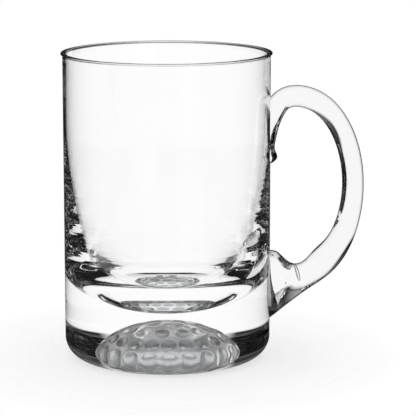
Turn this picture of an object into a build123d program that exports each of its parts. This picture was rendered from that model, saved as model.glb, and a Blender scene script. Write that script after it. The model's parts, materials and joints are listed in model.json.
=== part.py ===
"""A clear glass beer mug: a heavy-based body with a dimpled dome under it, and a drawn glass handle."""
import os
from math import acos, asin, atan2, cos, degrees, pi, radians, sin, sqrt

from build123d import *

# Body, in millimetres: a straight cylinder with a flat, fire-polished lip that stands a little proud of it.
mug_height = 131.0
outer_radius = 44.0
lip_thickness = 2.2
lip_round = 0.45
lip_flare = 0.8
lip_flare_length = 0.8
base_corner = 9.0

# Hollow: a small flat floor, a round corner and a long side arc that thins the wall towards the lip.
floor_thickness = 4.3
bowl_flat_radius = 6.5
bowl_corner = 31.0
bowl_rise = 78.0
bowl_wall = 1.2

# Dome: a ball pressed into the underside, with shallow round dimples in rings about its top. Each ring
# has six more than the ring above, up to a limit, and all rings start at the same turn.
ball_radius = 21.3
dome_height = 18.2
dome_edge_round = 2.0
dimple_pitch = 6.4
dimple_ring_growth = 6
dimple_ring_limit = 18
dimple_first_turn = 51.5
dimple_diameter = 5.2
dimple_depth = 0.7
dimple_overrun = 0.1

# Handle: its middle line is half an ellipse standing off the wall, with a root below and a tail above.
# Its sections are ovals, which the pinch narrows on the side towards the fingers.
handle_top_below_rim = 19.0
handle_foot_height = 36.0
arch_stand_off = 11.6
arch_reach = 23.8
grip_thickness = 9.2
grip_width = 10.0
grip_pinch = 0.35
pinch_first_angle = 59.0
pinch_last_angle = -47.0
root_swell = 3.6
arch_first_angle = 104.0
arch_last_angle = -64.0
arch_stations = 9
oval_points = 8

# Tail: where the upper end was pressed down the wall. Stand-off, drop below the top of the arch,
# heading of the middle line, thickness, width and pinch at each section, from the tip upwards.
tail_sections = [
    (-0.2, 28.2, 90.0, 2.6, 7.0, 0.0),
    (0.0, 26.8, 90.0, 5.4, 10.6, 0.0),
    (-0.1, 23.5, 90.0, 4.6, 11.4, 0.0),
    (-0.2, 18.5, 90.0, 5.0, 12.0, 0.0),
    (0.3, 11.5, 82.0, 7.4, 12.0, 0.0),
    (2.2, 5.2, 58.0, 9.0, 11.2, 0.0),
]

# Root: where the lower end was stuck on. Stand-off, height above the foot of the arch, heading,
# thickness, width and pinch at each section, from the arch to inside the wall.
root_sections = [
    (10.4, -3.2, -164.0, 15.2, 13.5, -0.3),
    (5.05, -3.4, -173.0, 23.6, 17.5, -0.2),
    (0.5, -5.0, -178.0, 28.8, 21.0, 0.0),
    (-4.0, -6.4, -180.0, 32.6, 23.0, 0.0),
]

os.makedirs("parts", exist_ok=True)

# Dimple: a round-bottomed plug, set on the flat of its rim and a little wider than it, to cut clear.
dimple_radius = dimple_diameter / 2
dimple_half_angle = asin(dimple_radius / ball_radius)
rim_out = ball_radius * cos(dimple_half_angle)
dimple_bow = rim_out - (ball_radius - dimple_depth)
dimple_sphere = (dimple_radius**2 + dimple_bow**2) / (2 * dimple_bow)
plug_radius = dimple_radius + dimple_overrun
plug_angle = degrees(asin(plug_radius / dimple_sphere))

with BuildPart() as dimple_plug:
    with BuildSketch(Plane.XZ):
        with BuildLine():
            bottom = CenterArc((0, dimple_sphere - dimple_bow), dimple_sphere, 270, plug_angle)
            Polyline(bottom @ 1, (plug_radius, dimple_depth), (0, dimple_depth), bottom @ 0)
        make_face()
    revolve(axis=Axis.Z)

# Dome press: a ball whose foot flares out into the underside, with rings of dimples about one at its top.
ball_middle = Vector(0, 0, dome_height - ball_radius)
flare_reach = ball_radius + dome_edge_round
flare_middle_radius = sqrt(flare_reach**2 - (dome_edge_round - ball_middle.Z) ** 2)
dome_edge_angle = acos((dome_edge_round - ball_middle.Z) / flare_reach)
ring_step = dimple_pitch / ball_radius
last_ring = int((dome_edge_angle - dimple_half_angle) / ring_step)

dimple_planes = [Plane(origin=ball_middle + Vector(0, 0, rim_out))]
for ring in range(1, last_ring + 1):
    tilt = ring * ring_step
    count = min(ring * dimple_ring_growth, dimple_ring_limit)
    for step in range(count):
        turn = radians(dimple_first_turn) + 2 * pi * step / count
        outward = Vector(sin(tilt) * cos(turn), sin(tilt) * sin(turn), cos(tilt))
        dimple_planes.append(Plane(origin=ball_middle + outward * rim_out, z_dir=outward))

with BuildPart() as dome_press:
    with BuildSketch(Plane.XZ):
        with BuildLine():
            ball = CenterArc((0, ball_middle.Z), ball_radius, 90, -degrees(dome_edge_angle))
            flare = TangentArc(ball @ 1, (flare_middle_radius, 0), tangent=ball % 1)
            Polyline(flare @ 1, (flare_middle_radius, -dome_edge_round), (0, -dome_edge_round), ball @ 0)
        make_face()
    revolve(axis=Axis.Z)
    with Locations(*dimple_planes):
        add(dimple_plug.part, mode=Mode.SUBTRACT)

# Outside form: the outline of the mould turned about the axis, with the lip's outer rounding.
lip_radius = outer_radius + lip_flare
lip_crown = (lip_radius - lip_round, mug_height)
lip_spring = mug_height - lip_round

with BuildPart() as outside_form:
    with BuildSketch(Plane.XZ):
        with BuildLine():
            Line((0, 0), (0, mug_height))
            Line((0, mug_height), lip_crown)
            RadiusArc(lip_crown, (lip_radius, lip_spring), lip_round)
            flare = Spline(
                (lip_radius, lip_spring),
                (outer_radius, lip_spring - lip_flare_length),
                tangents=[(0, -1), (0, -1)],
            )
            side = Line(flare @ 1, (outer_radius, base_corner))
            RadiusArc(side @ 1, (outer_radius - base_corner, 0), base_corner)
            Line((outer_radius - base_corner, 0), (0, 0))
        make_face()
    revolve(axis=Axis.Z)

# Body: the outside form with its hollow turned out and the dome pressed into its underside.
floor_height = dome_height + floor_thickness
bowl_radius = outer_radius - bowl_wall
bowl_top = floor_height + bowl_rise
side_arc_rise = bowl_rise - bowl_corner
side_arc_room = bowl_radius - bowl_flat_radius - bowl_corner
side_arc_in = (side_arc_rise**2 - side_arc_room**2) / (2 * side_arc_room)
corner_turn = degrees(atan2(side_arc_in, side_arc_rise))
corner_middle = (bowl_flat_radius, floor_height + bowl_corner)
lip_inside = (lip_radius - lip_thickness, lip_spring)
lip_crown_inside = (lip_radius - lip_thickness + lip_round, mug_height)

with BuildPart() as mug_body:
    add(outside_form.part)
    with BuildSketch(Plane.XZ):
        with BuildLine():
            corner = CenterArc(corner_middle, bowl_corner, 270, corner_turn)
            bowl_side = TangentArc(corner @ 1, (bowl_radius, bowl_top), tangent=corner % 1)
            Spline(bowl_side @ 1, lip_inside, tangents=[(0, 1), (0, 1)])
            RadiusArc(lip_inside, lip_crown_inside, lip_round)
            Polyline(lip_crown_inside, (0, mug_height), (0, floor_height), corner @ 0)
        make_face()
    revolve(axis=Axis.Z, mode=Mode.SUBTRACT)
    add(dome_press.part, mode=Mode.SUBTRACT)

# Handle: sections across its middle line, from the tail's tip over the arch and into the root.
arch_top = mug_height - handle_top_below_rim
arch_rise = (arch_top - handle_foot_height) / 2
arch_middle_x = outer_radius + arch_stand_off
arch_middle_z = handle_foot_height + arch_rise

stations = []
for stand_off, drop, heading, *oval in tail_sections:
    stations.append((outer_radius + stand_off, arch_top - drop, radians(heading), *oval))
for step in range(arch_stations):
    angle = arch_first_angle + (arch_last_angle - arch_first_angle) * step / (arch_stations - 1)
    pinched = (angle - pinch_first_angle) / (pinch_last_angle - pinch_first_angle)
    turn = radians(angle)
    swell = root_swell * min(0, sin(turn)) ** 2
    stations.append((
        arch_middle_x + arch_reach * cos(turn),
        arch_middle_z + arch_rise * sin(turn),
        atan2(-arch_rise * cos(turn), arch_reach * sin(turn)),
        grip_thickness + swell,
        grip_width + swell / 2,
        grip_pinch * max(0, sin(pi * pinched)),
    ))
for stand_off, lift, heading, *oval in root_sections:
    stations.append((outer_radius + stand_off, handle_foot_height + lift, radians(heading), *oval))

with BuildPart() as handle:
    for x, z, heading, thickness, width, pinch in stations:
        across = (-sin(heading), 0, cos(heading))
        along = (cos(heading), 0, sin(heading))
        oval = []
        for point in range(oval_points):
            angle = 2 * pi * point / oval_points
            half_width = width / 2 * (1 + pinch * cos(angle))
            oval.append((thickness / 2 * cos(angle), half_width * sin(angle)))
        with BuildSketch(Plane(origin=(x, 0, z), x_dir=across, z_dir=along)):
            with BuildLine():
                Spline(*oval, periodic=True)
            make_face()
    loft()
    add(outside_form.part, mode=Mode.SUBTRACT)

mug_body.part.label = "mug_body"
export_step(mug_body.part, "parts/mug_body.step")
handle.part.label = "handle"
export_step(handle.part, "parts/handle.step")
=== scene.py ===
# %% [markdown]
# # A clear glass beer mug
# The mug has two pieces. The body has a thin straight wall on a heavy base, with a dimpled dome pushed up
# into its underside. The handle is a rope of hot glass, stuck on low, drawn up and over, and pressed down
# the wall above. The measured pieces are loaded first, and the body's height and lip radius are taken from
# them.

# %% Load the measured mug
import bpy
import bmesh
import json
import numpy as np
from math import acos, asin, atan2, cos, degrees, pi, radians, sin, sqrt
from mathutils import Euler, Matrix, Vector

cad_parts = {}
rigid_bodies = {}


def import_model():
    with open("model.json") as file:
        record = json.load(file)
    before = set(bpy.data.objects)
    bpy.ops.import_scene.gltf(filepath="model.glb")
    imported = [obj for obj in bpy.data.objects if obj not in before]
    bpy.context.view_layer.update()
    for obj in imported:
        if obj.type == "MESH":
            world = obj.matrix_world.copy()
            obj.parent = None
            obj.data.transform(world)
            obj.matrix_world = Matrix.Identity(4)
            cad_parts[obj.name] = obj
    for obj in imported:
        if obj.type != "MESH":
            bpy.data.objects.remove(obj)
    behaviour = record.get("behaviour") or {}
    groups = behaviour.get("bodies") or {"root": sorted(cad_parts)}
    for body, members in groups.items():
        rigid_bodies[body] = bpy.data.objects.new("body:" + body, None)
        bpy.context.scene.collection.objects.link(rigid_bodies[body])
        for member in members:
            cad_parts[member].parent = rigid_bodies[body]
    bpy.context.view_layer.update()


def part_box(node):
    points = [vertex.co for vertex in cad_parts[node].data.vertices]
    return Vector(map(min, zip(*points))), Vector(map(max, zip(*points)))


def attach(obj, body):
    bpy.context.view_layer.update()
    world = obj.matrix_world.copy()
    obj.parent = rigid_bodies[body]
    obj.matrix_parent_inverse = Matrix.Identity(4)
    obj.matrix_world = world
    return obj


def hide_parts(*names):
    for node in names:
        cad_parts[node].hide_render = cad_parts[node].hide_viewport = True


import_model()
mm = 0.001
body_low, body_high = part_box("mug_body")
print("measured body, mm:", [round(side / mm, 1) for side in body_high - body_low])

# %% [markdown]
# ## The turned outline
# A body of revolution needs only half its outline: points as (distance from the axis, height). A
# ready-made cylinder with a solidify modifier would give a wall of even thickness, but this wall is 1 mm
# thin near the lip and 10 mm thick near the base, so both sides of it are drawn. First come helpers for
# arcs and for soft runs.

# %% Arcs and easing
def arc(middle, radius, first, last, count):
    """Points along an arc about a middle point, between two angles in degrees."""
    angles = np.radians(np.linspace(first, last, count))
    return np.c_[middle[0] + radius * np.cos(angles), middle[1] + radius * np.sin(angles)]


def ease(steps):
    """A soft start and a soft stop between 0 and 1."""
    return 3 * steps**2 - 2 * steps**3


# %% [markdown]
# ## Lip, side and base corner
# The lip was cut level and held in a flame until its two edges rounded off. It stands a little proud of
# the wall. Below it the side is straight, down to a generous round corner on the base.

# %% Draw the outside
mug_height = body_high.z
lip_radius = body_high.y
lip_flare = 0.8 * mm
lip_flare_length = 0.8 * mm
lip_thickness = 2.2 * mm
lip_round = 0.45 * mm
base_corner = 9 * mm
outer_radius = lip_radius - lip_flare
lip_spring = mug_height - lip_round
lip_points = 16
flare_points = 30
side_points = 60
corner_points = 40

lip_inside = arc((lip_radius - lip_thickness + lip_round, lip_spring), lip_round, 180, 90, lip_points)
lip_outside = arc((lip_radius - lip_round, lip_spring), lip_round, 90, 0, lip_points)
lip = np.vstack([lip_inside, lip_outside])
flare_steps = np.linspace(0, 1, flare_points)[1:]
flare = np.c_[lip_radius - lip_flare * ease(flare_steps), lip_spring - lip_flare_length * flare_steps]
side_heights = np.linspace(lip_spring - lip_flare_length, base_corner, side_points)[1:]
side = np.c_[np.full_like(side_heights, outer_radius), side_heights]
corner = arc((outer_radius - base_corner, base_corner), base_corner, 0, -90, corner_points)[1:]
print("outer radius, mm:", round(outer_radius / mm, 2))

# %% [markdown]
# ## The hollow
# Inside, a small flat floor turns up through a round corner into one long arc that thins the wall towards
# the lip. The arcs touch without a kink. That matters more in glass than in any other material: a kink of
# one degree shows as a hard line, because the light bends differently on each side of it.

# %% Draw the hollow
floor_height = 22.5 * mm
bowl_flat_radius = 6.5 * mm
bowl_corner = 31 * mm
bowl_rise = 78 * mm
bowl_wall = 1.2 * mm
bowl_radius = outer_radius - bowl_wall
bowl_top = floor_height + bowl_rise
arc_rise = bowl_rise - bowl_corner
arc_room = bowl_radius - bowl_flat_radius - bowl_corner
arc_in = (arc_rise**2 - arc_room**2) / (2 * arc_room)
side_round = bowl_corner + arc_room + arc_in
bend_end = degrees(atan2(arc_in, arc_rise)) - 90
floor_points = 8
bend_points = 80
bowl_side_points = 90
lip_run_points = 30

floor_radii = np.linspace(0, bowl_flat_radius, floor_points)
bowl_floor = np.c_[floor_radii, np.full_like(floor_radii, floor_height)]
bowl_bend = arc((bowl_flat_radius, floor_height + bowl_corner), bowl_corner, -90, bend_end, bend_points)[1:]
bowl_side = arc((bowl_radius - side_round, bowl_top), side_round, bend_end, 0, bowl_side_points)[1:]
run_steps = np.linspace(0, 1, lip_run_points)[1:]
lip_run = np.c_[
    bowl_radius + (lip_radius - lip_thickness - bowl_radius) * ease(run_steps),
    bowl_top + (lip_spring - bowl_top) * run_steps,
]
hollow = np.vstack([bowl_floor, bowl_bend, bowl_side, lip_run])
print("points along the hollow:", len(hollow))

# %% [markdown]
# ## The dome
# A ball is pressed into the underside while the glass is soft. Its foot flares out into the ring that the
# mug stands on. The ball's outline is turned like the rest of the body, and the dimples are pressed in
# afterwards.

# %% Draw the dome
ball_radius = 21.3 * mm
dome_height = 18.2 * mm
dome_edge_round = 2 * mm
ball_middle = dome_height - ball_radius
foot_radius = sqrt((ball_radius + dome_edge_round) ** 2 - (dome_edge_round - ball_middle) ** 2)
foot_angle = degrees(atan2(dome_edge_round - ball_middle, foot_radius))
foot_points = 24
ball_points = 150

ring_radii = np.linspace(outer_radius - base_corner, foot_radius, foot_points)[1:]
stand_ring = np.c_[ring_radii, np.zeros_like(ring_radii)]
dome_foot = arc((foot_radius, dome_edge_round), dome_edge_round, -90, foot_angle - 180, foot_points)[1:]
ball = arc((0, ball_middle), ball_radius, foot_angle, 90, ball_points)[1:-1]
print("dome foot radius, mm:", round(foot_radius / mm, 2))

# %% [markdown]
# ## Rings of dimples
# The dimples sit in rings about one at the top, a ring pitch apart. Each ring has six more than the ring
# above, up to a limit, and all rings start at the same turn, so the rows line up as on a ball made in a
# mould.

# %% Place the dimples
dimple_pitch = 6.4 * mm
dimple_ring_growth = 6
dimple_ring_limit = 18
dimple_first_turn = radians(51.5)
dimple_diameter = 5.2 * mm
dimple_half_angle = asin(dimple_diameter / 2 / ball_radius)
dome_edge_angle = acos((dome_edge_round - ball_middle) / (ball_radius + dome_edge_round))
ring_step = dimple_pitch / ball_radius
last_ring = int((dome_edge_angle - dimple_half_angle) / ring_step)

dimple_axes = [(0, 0, 1)]
for ring in range(1, last_ring + 1):
    tilt = ring * ring_step
    count = min(ring * dimple_ring_growth, dimple_ring_limit)
    for step in range(count):
        turn = dimple_first_turn + 2 * pi * step / count
        dimple_axes.append((sin(tilt) * cos(turn), sin(tilt) * sin(turn), cos(tilt)))
dimple_axes = np.array(dimple_axes)
print("dimples:", len(dimple_axes))

# %% [markdown]
# ## Pressing the dimples in
# Each dimple is the dent that a larger ball leaves, so its floor is a piece of a sphere. Subtracting a
# sphere for each with a boolean would work, but it leaves long thin triangles, and their shading shows in
# glass. Moving the points of the turned ball is smoother: each point takes the lower of the ball and the
# nearest dent, with a small soft step between them. How far each point lies inside a dent is kept for the
# finish.

# %% Dents in the ball
dimple_depth = 0.7 * mm
dimple_lip_round = 0.10 * mm


def press_dimples(points):
    """Points of the ball moved into the dents, and how far each is inside one, from 0 to 1."""
    bow = dimple_depth - ball_radius * (1 - cos(dimple_half_angle))
    dent_radius = ((dimple_diameter / 2) ** 2 + bow**2) / (2 * bow)
    dent_middle = ball_radius - dimple_depth + dent_radius
    outward = (points - (0, 0, ball_middle)) / ball_radius
    nearest = np.clip(outward @ dimple_axes.T, -1, 1).max(axis=1)
    inside = dent_radius**2 - dent_middle**2 * (1 - nearest**2)
    dented = np.where(inside > 0, dent_middle * nearest - np.sqrt(np.maximum(inside, 0)), 2 * ball_radius)
    share = np.clip(0.5 + 0.5 * (ball_radius - dented) / dimple_lip_round, 0, 1)
    reach = ball_radius * (1 - share) + dented * share - dimple_lip_round * share * (1 - share)
    return outward * reach[:, None] + (0, 0, ball_middle), share


# %% [markdown]
# ## Turn the outline
# A spin operator or a screw modifier can turn an outline. Here the rings are built point by point,
# because the dimples have to move points of single rings before faces are laid between them. The outline
# starts on the axis inside the cup and ends on the axis under the dome, so the mesh closes on itself and
# light knows inside from out.

# %% Rings of points
body_turns = 320
outline = np.vstack([hollow[1:], lip[1:], flare, side, corner, stand_ring, dome_foot, ball])
angles = np.linspace(0, 2 * pi, body_turns, endpoint=False)
rings = np.stack([
    np.outer(outline[:, 0], np.cos(angles)),
    np.outer(outline[:, 0], np.sin(angles)),
    np.repeat(outline[:, 1:], body_turns, axis=1),
], axis=2)
dented, in_dimple = press_dimples(rings[-len(ball):].reshape(-1, 3))
rings[-len(ball):] = dented.reshape(len(ball), body_turns, 3)

floor_point = (0, 0, floor_height)
dome_point = (0, 0, dome_height - dimple_depth)
body_points = np.vstack([[floor_point], rings.reshape(-1, 3), [dome_point]])
print("points of the body:", len(body_points))

# %% [markdown]
# ## Faces between the rings
# Neighbouring rings are joined by four-sided faces, and the two ends by a fan of triangles. Smooth
# shading then hides the facets, so that light bends evenly over the whole surface.

# %% Body mesh
def smooth_mesh(name, points, faces):
    """A smooth-shaded mesh object whose faces all look outwards."""
    mesh = bpy.data.meshes.new(name)
    mesh.from_pydata([tuple(point) for point in points], [], faces)
    shell = bmesh.new()
    shell.from_mesh(mesh)
    bmesh.ops.recalc_face_normals(shell, faces=shell.faces)
    shell.to_mesh(mesh)
    shell.free()
    mesh.shade_smooth()
    piece = bpy.data.objects.new(name, mesh)
    bpy.context.scene.collection.objects.link(piece)
    return piece


body_faces = []
for turn in range(body_turns):
    here, there = 1 + turn, 1 + (turn + 1) % body_turns
    body_faces.append((0, here, there))
    for ring in range(len(outline) - 1):
        low, high = ring * body_turns, (ring + 1) * body_turns
        body_faces.append((low + here, high + here, high + there, low + there))
    body_faces.append((high + there, high + here, len(body_points) - 1))
body = smooth_mesh("body_of_glass", body_points, body_faces)
print("body faces:", len(body.data.polygons))

# %% [markdown]
# ## Helpers for nodes
# Materials and the world are graphs of nodes, each fed by values or by other nodes. They could be wired
# by hand in the shader editor. In a script, a few helpers keep each step of a graph to one line.

# %% Node helpers
def add_node(tree, kind, feeds=None, **settings):
    """A node with the given settings. Feeds fill its inputs, each with a value or another node's output."""
    node = tree.nodes.new(kind)
    for key, value in settings.items():
        setattr(node, key, value)
    for key, value in (feeds or {}).items():
        if isinstance(value, bpy.types.NodeSocket):
            tree.links.new(value, node.inputs[key])
        else:
            node.inputs[key].default_value = value
    return node


def calc(tree, operation, *values, **settings):
    """One step of arithmetic."""
    node = add_node(tree, "ShaderNodeMath", dict(enumerate(values)), operation=operation, **settings)
    return node.outputs[0]


def calc_place(tree, operation, *values):
    """One step of arithmetic on places."""
    node = add_node(tree, "ShaderNodeVectorMath", dict(enumerate(values)), operation=operation)
    return node.outputs["Value" if operation == "LENGTH" else "Vector"]


def ramp(tree, value, start, end, low=0.0, high=1.0):
    """A value that goes from low to high as another goes from start to end."""
    feeds = {"Value": value, "From Min": start, "From Max": end, "To Min": low, "To Max": high}
    return add_node(tree, "ShaderNodeMapRange", feeds).outputs[0]


def mix(tree, share, first, second):
    """A value that goes from the first to the second as the share goes from 0 to 1."""
    return add_node(tree, "ShaderNodeMix", {"Factor": share, "A": first, "B": second}).outputs["Result"]


def noise(tree, place, scale, detail):
    """A soft random pattern, the same at each run."""
    feeds = {"Vector": place, "Scale": scale, "Detail": detail}
    return add_node(tree, "ShaderNodeTexNoise", feeds).outputs[0]


def bump(tree, shader, height, depth):
    """A pattern of heights that bends the light at the surface."""
    waves = add_node(tree, "ShaderNodeBump", {"Height": height, "Distance": depth})
    tree.links.new(waves.outputs[0], shader.inputs["Normal"])


# %% [markdown]
# ## Clear glass
# Glass has no colour of its own to speak of: all that shows is what its surfaces bend and mirror. The
# shader lets all light through, at the index of soda-lime glass. Seen square on, each face would also
# mirror a few percent of the room, which greys the clear wall, so that share is turned down. At a slant
# the mirror stays full.

# %% Clear glass
glass_index = 1.5
glass_colour = (0.997, 1.0, 1.0, 1)
square_on_mirror = (0.3, 0.3, 0.3, 1)


def clear_glass(name):
    """A clear glass material, its node tree and its shader."""
    material = bpy.data.materials.new(name)
    material.use_nodes = True
    shader = material.node_tree.nodes["Principled BSDF"]
    shader.inputs["Base Color"].default_value = glass_colour
    shader.inputs["Roughness"].default_value = 0
    shader.inputs["IOR"].default_value = glass_index
    shader.inputs["Transmission Weight"].default_value = 1
    shader.inputs["Specular Tint"].default_value = square_on_mirror
    return material, material.node_tree, shader


# %% [markdown]
# ## Ripples in the wall
# Hand work leaves the wall very slightly wavy, and its thick lower part shows that as fine level streaks.
# A noise stretched along the level drives a bump a few hundredths of a millimetre high, so the streaks
# come from bent light and not from paint. The waves lie on the hollow's side of the wall and round the
# base corner. The face that the dome is seen through stays clean. The top of the lip is painted greyer:
# a painted shade for the dark line that its round top shows.

# %% Glass for the body
ripple_scale = (6, 6, 520)
ripple_slant = (0.03, 0.04, 0)
ripple_detail = 1.0
ripple_depth = 0.05 * mm
wall_calm_above = 105 * mm
wall_wavy_below = 60 * mm
wall_wavy_above = 44 * mm
wall_calm_below = 34 * mm
corner_wavy_below = 6 * mm
# Painted shade on the lip's top: the height where its grey is full, and that grey.
lip_shade_full = mug_height - lip_round / 3
lip_painted_shade = 0.4

body_glass, tree, shader = clear_glass("body_clear_glass")
place = add_node(tree, "ShaderNodeTexCoord").outputs["Object"]
height = add_node(tree, "ShaderNodeSeparateXYZ", {0: place}).outputs["Z"]
level_feeds = {"Vector": place, "Scale": ripple_scale, "Rotation": ripple_slant}
along_level = add_node(tree, "ShaderNodeMapping", level_feeds).outputs[0]
upper_wall = ramp(tree, height, wall_calm_above, wall_wavy_below)
lower_wall = ramp(tree, height, wall_calm_below, wall_wavy_above)
from_axis = calc_place(tree, "LENGTH", calc_place(tree, "MULTIPLY", place, (1, 1, 0)))
hollow_side = calc(tree, "LESS_THAN", from_axis, outer_radius - bowl_wall / 2)
wavy_wall = calc(tree, "MULTIPLY", calc(tree, "MULTIPLY", upper_wall, lower_wall), hollow_side)
wavy_corner = ramp(tree, height, base_corner, corner_wavy_below)
wavy = calc(tree, "MAXIMUM", wavy_wall, wavy_corner)
ripples = noise(tree, along_level, 1.0, ripple_detail)
bump(tree, shader, calc(tree, "MULTIPLY", ripples, wavy), ripple_depth)
# Painted shade: the base colour turns grey over the top of the lip.
lip_shade_ramp = ramp(tree, height, lip_spring, lip_shade_full, 1.0, lip_painted_shade)
tree.links.new(lip_shade_ramp, shader.inputs["Base Color"])
body.data.materials.append(body_glass)
print("materials on the body:", [material.name for material in body.data.materials])

# %% [markdown]
# ## Where the dimples are
# The dimples get a darker painted shade than the ball between them. A value stored on each point of the
# mesh tells the material which is which. It fades out towards the dome's foot.

# %% Mark the dimples
# Between these heights the dimples' painted shade fades out towards the foot.
shade_fade_low = 3 * mm
shade_fade_high = 9 * mm
in_dimple *= ease(np.clip((dented[:, 2] - shade_fade_low) / (shade_fade_high - shade_fade_low), 0, 1))
dimple_mask = np.zeros(len(body_points))
dimple_mask[-1 - len(in_dimple):-1] = in_dimple
dimple_mask[-1] = 1
body.data.attributes.new("dimple", "FLOAT", "POINT").data.foreach_set("value", dimple_mask)
print("points inside dimples:", int((dimple_mask > 0.5).sum()))

# %% [markdown]
# ## The pressed dome's skin
# Where the glass touched the cold press it has a satin skin, not a polish. Light that goes through it
# spreads, and a part of it is scattered back, so the dome shows as a soft ball with shaded dimples where
# polished glass would show only a tangle of mirrors. The same glass shader lets a little less light through
# and gets a roughness that varies with a noise, and a fine grain. On top of that its colour is painted
# shade: grey over the whole ball, and a darker grey in the dimples.

# %% Satin glass with painted shade for the dome
# Painted shade: the grey of the whole dome, and the darker grey in its dimples.
dome_painted_shade = (0.8, 0.82, 0.83, 1)
dimple_painted_shade = (0.3, 0.32, 0.33, 1)
satin_through = 0.83
satin_low = 0.22
satin_high = 0.28
patch_scale = 180
patch_detail = 3.0
grain_scale = 1500
grain_detail = 2.0
grain_depth = 0.01 * mm

dome_glass, tree, shader = clear_glass("dome_satin_glass")
shader.inputs["Transmission Weight"].default_value = satin_through
place = add_node(tree, "ShaderNodeTexCoord").outputs["Object"]
dimple = add_node(tree, "ShaderNodeAttribute", attribute_name="dimple").outputs["Fac"]
# Painted shade: the dimple mask mixes the two greys into the base colour.
# A mix node has several inputs of the same name. Numbers 0, 6 and 7 are its share and its two colours.
tint = add_node(tree, "ShaderNodeMix", {0: dimple, 6: dome_painted_shade, 7: dimple_painted_shade}, data_type="RGBA")
tree.links.new(tint.outputs[2], shader.inputs["Base Color"])
skin = ramp(tree, noise(tree, place, patch_scale, patch_detail), 0.0, 1.0, satin_low, satin_high)
tree.links.new(skin, shader.inputs["Roughness"])
bump(tree, shader, noise(tree, place, grain_scale, grain_detail), grain_depth)
body.data.materials.append(dome_glass)

dome_faces = 0
for face in body.data.polygons:
    on_dome = face.center.z < dome_height and face.center.xy.length < foot_radius
    face.material_index = int(on_dome)
    dome_faces += on_dome
print("faces with the satin skin:", dome_faces)

# %% [markdown]
# ## The handle's middle line
# The handle is a drawn rope with an oval section. Its middle line is half an ellipse standing off the
# wall, with a tail pressed down the wall above and a thick root below. Each station along it has a place,
# a heading, a thickness, a width and a pinch, which narrows the oval on the side towards the fingers. A
# curve with a bevel has one round section all along, so the skin is built from stations.

# %% Ends of the handle
# Tail, from its tip up: stand-off from the wall, drop below the arch's top, heading in degrees, thickness,
# width and pinch, with lengths in mm.
tail = [
    (-0.2, 28.2, 90, 2.6, 7.0, 0),
    (0.0, 26.8, 90, 5.4, 10.6, 0),
    (-0.1, 23.5, 90, 4.6, 11.4, 0),
    (-0.2, 18.5, 90, 5.0, 12.0, 0),
    (0.3, 11.5, 82, 7.4, 12.0, 0),
    (2.2, 5.2, 58, 9.0, 11.2, 0),
]
# Root, from the arch into the wall: stand-off, lift above the arch's foot, and the rest as for the tail.
root = [
    (10.4, -3.2, -164, 15.2, 13.5, -0.3),
    (5.05, -3.4, -173, 23.6, 17.5, -0.2),
    (0.5, -5.0, -178, 28.8, 21.0, 0),
    (-4.0, -6.4, -180, 32.6, 23.0, 0),
]
print("sections in the tail and the root:", len(tail), len(root))

# %% [markdown]
# ## Stations from end to end
# The arch's stations are worked out from the ellipse, evenly by angle, and the rope swells towards its
# root.

# %% Stations along the handle
handle_top_below_rim = 19 * mm
handle_foot = 36 * mm
arch_top = mug_height - handle_top_below_rim
arch_rise = (arch_top - handle_foot) / 2
arch_reach = 23.8 * mm
arch_stand_off = 11.6 * mm
arch_x = outer_radius + arch_stand_off
arch_z = handle_foot + arch_rise
arch_first_angle = 104
arch_last_angle = -64
arch_stations = 9
arch_angles = np.linspace(arch_first_angle, arch_last_angle, arch_stations)
grip_thickness = 9.2 * mm
grip_width = 10 * mm
grip_pinch = 0.35
pinch_first_angle = 59
pinch_last_angle = -47
root_swell = 3.6 * mm

stations = []
for stand_off, drop, heading, thickness, width, pinch in tail:
    place = (outer_radius + stand_off * mm, arch_top - drop * mm)
    stations.append((*place, radians(heading), thickness * mm, width * mm, pinch))
for angle in arch_angles:
    pinched = (angle - pinch_first_angle) / (pinch_last_angle - pinch_first_angle)
    turn = radians(angle)
    swell = root_swell * min(0, sin(turn)) ** 2
    stations.append((
        arch_x + arch_reach * cos(turn),
        arch_z + arch_rise * sin(turn),
        atan2(-arch_rise * cos(turn), arch_reach * sin(turn)),
        grip_thickness + swell,
        grip_width + swell / 2,
        grip_pinch * max(0, sin(pi * pinched)),
    ))
for stand_off, lift, heading, thickness, width, pinch in root:
    place = (outer_radius + stand_off * mm, handle_foot + lift * mm)
    stations.append((*place, radians(heading), thickness * mm, width * mm, pinch))
stations = np.array(stations)
stations[:, 2] = np.unwrap(stations[:, 2])
print("stations:", len(stations))

# %% [markdown]
# ## A smooth run through the stations
# Hot glass never kinks, so the values between stations follow a cubic spline: at each station its slope
# and its curvature carry on from the piece before. The slopes come from one small set of linear
# equations.

# %% Fill in between the stations
def spline(knots, count):
    """Values along a natural cubic spline through the knots, whose first two columns are a place."""
    steps = np.hypot(*np.diff(knots[:, :2], axis=0).T)
    along = np.concatenate([[0], np.cumsum(steps)])
    rises = np.diff(knots, axis=0) / steps[:, None]
    matrix = np.diag(np.full(len(knots), 2.0))
    target = np.zeros_like(knots)
    matrix[0, 1] = matrix[-1, -2] = 1
    target[0], target[-1] = 3 * rises[0], 3 * rises[-1]
    for knot in range(1, len(knots) - 1):
        before = steps[knot] / (steps[knot - 1] + steps[knot])
        matrix[knot, knot - 1], matrix[knot, knot + 1] = before, 1 - before
        target[knot] = 3 * (before * rises[knot - 1] + (1 - before) * rises[knot])
    slopes = np.linalg.solve(matrix, target)
    places = np.linspace(0, along[-1], count)
    piece = np.clip(np.searchsorted(along, places, side="right") - 1, 0, len(steps) - 1)
    t = ((places - along[piece]) / steps[piece])[:, None]
    run = steps[piece][:, None]
    return (
        knots[piece] * (1 - ease(t)) + knots[piece + 1] * ease(t)
        + run * (t * (1 - t) ** 2 * slopes[piece] - t**2 * (1 - t) * slopes[piece + 1])
    )


handle_sections = 320
handle_rows = spline(stations, handle_sections)
print("sections along the handle:", len(handle_rows))

# %% [markdown]
# ## The handle's skin
# Ovals stand across the middle line, and faces join each oval to the next. The ends are closed inside the
# wall or against it.

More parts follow.
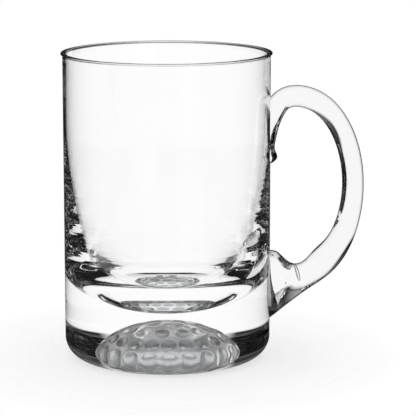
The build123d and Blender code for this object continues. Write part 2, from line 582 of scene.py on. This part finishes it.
# %% Handle mesh
oval_points = 96
around = np.linspace(0, 2 * pi, oval_points, endpoint=False)
handle_points = []
for x, z, heading, thickness, width, pinch in handle_rows:
    across = np.array([-sin(heading), 0, cos(heading)])
    for angle in around:
        half_width = width / 2 * (1 + pinch * cos(angle))
        offset = across * cos(angle) * thickness / 2 + np.array([0, sin(angle) * half_width, 0])
        handle_points.append(np.array([x, 0, z]) + offset)
last_oval = len(handle_points) - oval_points
handle_faces = [tuple(range(oval_points)), tuple(range(last_oval, len(handle_points)))]
for row in range(len(handle_rows) - 1):
    for point in range(oval_points):
        here, there = row * oval_points + point, row * oval_points + (point + 1) % oval_points
        handle_faces.append((here, there, there + oval_points, here + oval_points))
handle = smooth_mesh("handle_of_glass", handle_points, handle_faces)
print("handle faces before the cut:", len(handle.data.polygons))

# %% [markdown]
# ## The weld to the wall
# What reaches into the wall is cut off along a cylinder just under the wall's face. The two pieces then
# overlap by a third of a millimetre, with both faces parallel, so light crosses from one to the other as
# it does in fused glass. The cut's edge stays sharp, and all else is smooth.

# %% Cut the handle at the wall
weld_depth = 0.3 * mm
cutter_sides = 720
sharp_edge = radians(50)
bpy.ops.mesh.primitive_cylinder_add(
    vertices=cutter_sides, radius=outer_radius - weld_depth, depth=2 * mug_height,
)
cutter = bpy.context.object
cut = handle.modifiers.new("cut_at_wall", "BOOLEAN")
cut.object = cutter
cut.operation = "DIFFERENCE"
cut.solver = "EXACT"
bpy.context.view_layer.objects.active = handle
bpy.ops.object.modifier_apply(modifier=cut.name)
bpy.data.objects.remove(cutter)
handle.data.shade_smooth()
handle.data.set_sharp_from_angle(angle=sharp_edge)
print("handle faces:", len(handle.data.polygons))

# %% [markdown]
# ## Seed bubbles
# Glass that is gathered by hand traps a little air, and drawing the rope out pulls the bubbles long. A
# bubble is a hole, so its skin looks inwards: the faces of each small ball are turned over, away from the
# glass.

# %% Seed bubbles in the handle
# Middle as (x, height), half length, half width, and lean in degrees.
seeds = [
    ((55.3 * mm, 35.4 * mm), 2.9 * mm, 1.0 * mm, -20),
    ((49.7 * mm, 31.8 * mm), 0.35 * mm, 0.35 * mm, 0),
]
bubble_sides = 32
bubble_rings = 24
shell = bmesh.new()
shell.from_mesh(handle.data)
for (x, z), half_length, half_width, lean in seeds:
    place = Matrix.LocRotScale(
        Vector((x, 0, z)), Euler((0, radians(lean), 0)), Vector((half_width, half_width, half_length)),
    )
    bubble = bmesh.ops.create_uvsphere(
        shell, u_segments=bubble_sides, v_segments=bubble_rings, radius=1, matrix=place,
    )
    skin = {face for point in bubble["verts"] for face in point.link_faces}
    bmesh.ops.reverse_faces(shell, faces=list(skin))
    for face in skin:
        face.smooth = True
shell.to_mesh(handle.data)
shell.free()
print("seed bubbles:", len(seeds))

# %% [markdown]
# ## Drawn glass
# Drawing the hot rope out leaves fine lines along it, which bend the light a little. They follow the
# arch, so the noise is laid out by distance from the middle of the arch, not along an axis. The edge of a
# thick rope turns light back to the dim room and looks dark. That dark edge is also painted: the glass
# colour turns darker where the surface is seen edge-on, a painted shade.

# %% Glass for the handle
drawn_lines = (20, 0.8 / mm, 1.5)
drawn_detail = 1.0
drawn_depth = 0.05 * mm
edge_blend = 0.5
edge_power = 4
edge_full = 0.25
# Painted shade: the colour of the glass at the rope's very edge.
painted_edge_shade = 0.02
rope_clear_colour = 0.95

handle_glass, tree, shader = clear_glass("handle_clear_glass")
place = add_node(tree, "ShaderNodeTexCoord").outputs["Object"]
from_arch = calc_place(tree, "SUBTRACT", place, (arch_x, 0, arch_z))
arch_place = calc_place(tree, "DIVIDE", from_arch, (arch_reach, 1, arch_rise))
apart = add_node(tree, "ShaderNodeSeparateXYZ", {0: arch_place}).outputs
outwards = calc_place(tree, "LENGTH", calc_place(tree, "MULTIPLY", arch_place, (1, 0, 1)))
round_arch = calc(tree, "ARCTAN2", apart["Z"], apart["X"])
rope_place = add_node(tree, "ShaderNodeCombineXYZ", {"X": outwards, "Y": apart["Y"], "Z": round_arch})
line_place = calc_place(tree, "MULTIPLY", rope_place.outputs[0], drawn_lines)
bump(tree, shader, noise(tree, line_place, 1.0, drawn_detail), drawn_depth)
# Painted shade: the base colour darkens where the surface is seen edge-on.
turned_away = add_node(tree, "ShaderNodeLayerWeight", {"Blend": edge_blend}).outputs["Facing"]
near_edge = calc(tree, "POWER", turned_away, edge_power)
tree.links.new(ramp(tree, near_edge, 0.0, edge_full, rope_clear_colour, painted_edge_shade), shader.inputs["Base Color"])
handle.data.materials.clear()
handle.data.materials.append(handle_glass)
print("materials on the handle:", [material.name for material in handle.data.materials])

# %% [markdown]
# ## Put the pieces in the frame
# Each piece of glass stands for one measured piece, which is hidden. Nothing on a mug moves, so both ride
# on the one body.

# %% Stand for the measured pieces
for piece, node, slot in [(body, "mug_body", "body_glass"), (handle, "handle", "handle_glass")]:
    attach(piece, "root")
    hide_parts(node)
    print(piece.name, "stands for", node)

# %% [markdown]
# ## A white studio for glass
# Clear glass on white is lit from behind: the white ground shows through it, and its edges show dark
# because they mirror the unlit room. A photographer sets white and black cards round the glass, but then
# it looks right from one side only. Here the world itself is split by the path of the light: how often it
# was mirrored, and how many faces it has crossed. First comes light that was only bent. It sees the white
# ground, up to a dark ceiling. Light that has crossed only one piece of solid glass also finds a dark
# corner above it on each side.

# %% White ground for bent light
ceiling_edge = 0.32
ceiling_dim = 0.44
rise_start = 0.02
rise_full = 0.1
aside_start = 0.35
aside_full = 0.5
far_wall_crossings = 3.5
mirrored_never = 0.5

world = bpy.data.worlds.new("white_ground_dim_room")
world.use_nodes = True
bpy.context.scene.world = world
tree = world.node_tree
path = add_node(tree, "ShaderNodeLightPath").outputs
facing = add_node(tree, "ShaderNodeTexCoord").outputs["Generated"]
way = add_node(tree, "ShaderNodeSeparateXYZ", {0: facing}).outputs
below_ceiling = ramp(tree, way["Z"], ceiling_dim, ceiling_edge)
rising = ramp(tree, way["Z"], rise_start, rise_full)
aside = ramp(tree, calc(tree, "ABSOLUTE", way["X"]), aside_start, aside_full)
clear_of_corner = calc(tree, "SUBTRACT", 1.0, calc(tree, "MULTIPLY", rising, aside))
from_far_wall = calc(tree, "GREATER_THAN", path["Transmission Depth"], far_wall_crossings)
bent_light = mix(tree, from_far_wall, clear_of_corner, below_ceiling)
ground_here = calc(tree, "MAXIMUM", bent_light, path["Is Camera Ray"])
unmirrored = calc(tree, "LESS_THAN", path["Glossy Depth"], mirrored_never)
ground_seen = calc(tree, "MULTIPLY", ground_here, unmirrored)
ground_share = calc(tree, "ADD", ground_seen, path["Diffuse Depth"], use_clamp=True)
print("the ground ends at a rise of", ceiling_edge)

# %% [markdown]
# ## The dim room
# Light that was mirrored sees the dim room. Mirrored once, it finds a soft light overhead, a white card
# on the handle's side, and a gleam low down behind the far wall. Mirrored more often, as in the thick
# lower wall, it finds one narrow level strip, which draws the bright streaks between the dark ones.

# %% Dim room for mirrored light
room_dark = 0.012
soft_edge = 0.12
soft_level = 0.5
card_middle = 0.4
card_half = 0.2
gleam_height = -0.2
gleam_half = 0.12
strip_height = -0.04
strip_half = 0.03
strip_level = 0.9
outside_crossings = 0.5
mirrored_to_one = 1.5

soft_light = ramp(tree, way["Z"], soft_edge, 1.0, room_dark, soft_level)
card_side = calc(tree, "COMPARE", way["X"], card_middle, card_half)
through_glass = calc(tree, "GREATER_THAN", path["Transmission Depth"], outside_crossings)
through_and_mirrored = calc(tree, "SUBTRACT", through_glass, unmirrored, use_clamp=True)
card_seen = calc(tree, "MULTIPLY", below_ceiling, through_and_mirrored)
card = calc(tree, "MULTIPLY", card_side, card_seen)
gleam_level = calc(tree, "COMPARE", way["Z"], gleam_height, gleam_half)
gleam = calc(tree, "MULTIPLY", gleam_level, from_far_wall)
lit_once = calc(tree, "MAXIMUM", calc(tree, "MAXIMUM", soft_light, card), gleam)
strip = calc(tree, "COMPARE", way["Z"], strip_height, strip_half)
strip_light = ramp(tree, strip, 0.0, 1.0, room_dark, strip_level)
few_mirrors = calc(tree, "LESS_THAN", path["Glossy Depth"], mirrored_to_one)
room_light = mix(tree, few_mirrors, strip_light, lit_once)
light_seen = mix(tree, ground_share, room_light, 1.0)
tree.links.new(light_seen, tree.nodes["Background"].inputs["Color"])
print("dim room level:", room_dark)

# %% [markdown]
# ## The floor
# The mug stands on a round white board that fades out into the white ground, so only its soft shadow
# shows. Seen through the glass it is plain white. Mirrored on the outside of the glass it is as dark as
# the room, or the base would look milky.

# %% White board
board_radius = 100 * mm
board_drop = 0.2 * mm
board_sides = 128
fade_start = 0.6 * board_radius
least_white = 0.5

bpy.ops.mesh.primitive_circle_add(
    vertices=board_sides, radius=board_radius, fill_type="NGON", location=(0, 0, -board_drop),
)
board = bpy.context.object
board.name = "white_board"
paper = bpy.data.materials.new("white_paper")
paper.use_nodes = True
tree = paper.node_tree
shader = tree.nodes["Principled BSDF"]
shader.inputs["Base Color"].default_value = (1.0, 1.0, 1.0, 1)
shader.inputs["Roughness"].default_value = 1
shader.inputs["Specular IOR Level"].default_value = 0
place = add_node(tree, "ShaderNodeTexCoord").outputs["Object"]
fade = ramp(tree, calc_place(tree, "LENGTH", place), fade_start, board_radius)
path = add_node(tree, "ShaderNodeLightPath").outputs
in_glass = calc(tree, "MAXIMUM", path["Is Transmission Ray"], path["Is Glossy Ray"])
white_share = calc(tree, "MAXIMUM", in_glass, least_white)
through_glass = calc(tree, "GREATER_THAN", path["Transmission Depth"], outside_crossings)
mirrored_outside = calc(tree, "SUBTRACT", path["Is Glossy Ray"], through_glass, use_clamp=True)
board_light = ramp(tree, mirrored_outside, 0.0, 1.0, 1.0, room_dark)
white = add_node(tree, "ShaderNodeEmission", {"Strength": board_light}).outputs[0]
lit = add_node(tree, "ShaderNodeMixShader", {0: white_share, 1: shader.outputs[0], 2: white}).outputs[0]
clear = add_node(tree, "ShaderNodeBsdfTransparent").outputs[0]
blend = add_node(tree, "ShaderNodeMixShader", {0: fade, 1: lit, 2: clear}).outputs[0]
tree.links.new(blend, tree.nodes["Material Output"].inputs["Surface"])
board.data.materials.append(paper)
print("board radius, mm:", round(board_radius / mm))

# %% [markdown]
# ## The camera
# The camera stands about a metre away with a long lens, a little above the lip and tilted down, so that
# the lip shows as a narrow ellipse and the side stays almost upright.

# %% Camera
camera_distance = 919.4 * mm
camera_height = 236.35 * mm
camera_pan = 0.019
camera_tilt = 0.1854
camera_lens = 189.26
camera_sensor = 36
camera_data = bpy.data.cameras.new("camera")
camera_data.lens = camera_lens
camera_data.sensor_width = camera_sensor
camera = bpy.data.objects.new("camera", camera_data)
bpy.context.scene.collection.objects.link(camera)
camera.location = (0, -camera_distance, camera_height)
look = Vector((sin(camera_pan) * cos(camera_tilt), cos(camera_pan) * cos(camera_tilt), -sin(camera_tilt)))
camera.rotation_euler = look.to_track_quat("-Z", "Y").to_euler()
bpy.context.scene.camera = camera
print("camera at, m:", [round(value, 3) for value in camera.location])

# %% [markdown]
# ## Light paths and colours
# Light crosses many faces of the glass before it leaves, so the paths are long. Colours are shown as they
# are.

# %% Paths and colours
light_bounces = 32
bpy.context.scene.view_settings.view_transform = "Standard"
for kind in ["max_bounces", "transmission_bounces", "glossy_bounces", "transparent_max_bounces"]:
    setattr(bpy.context.scene.cycles, kind, light_bounces)
print("longest light path:", light_bounces)
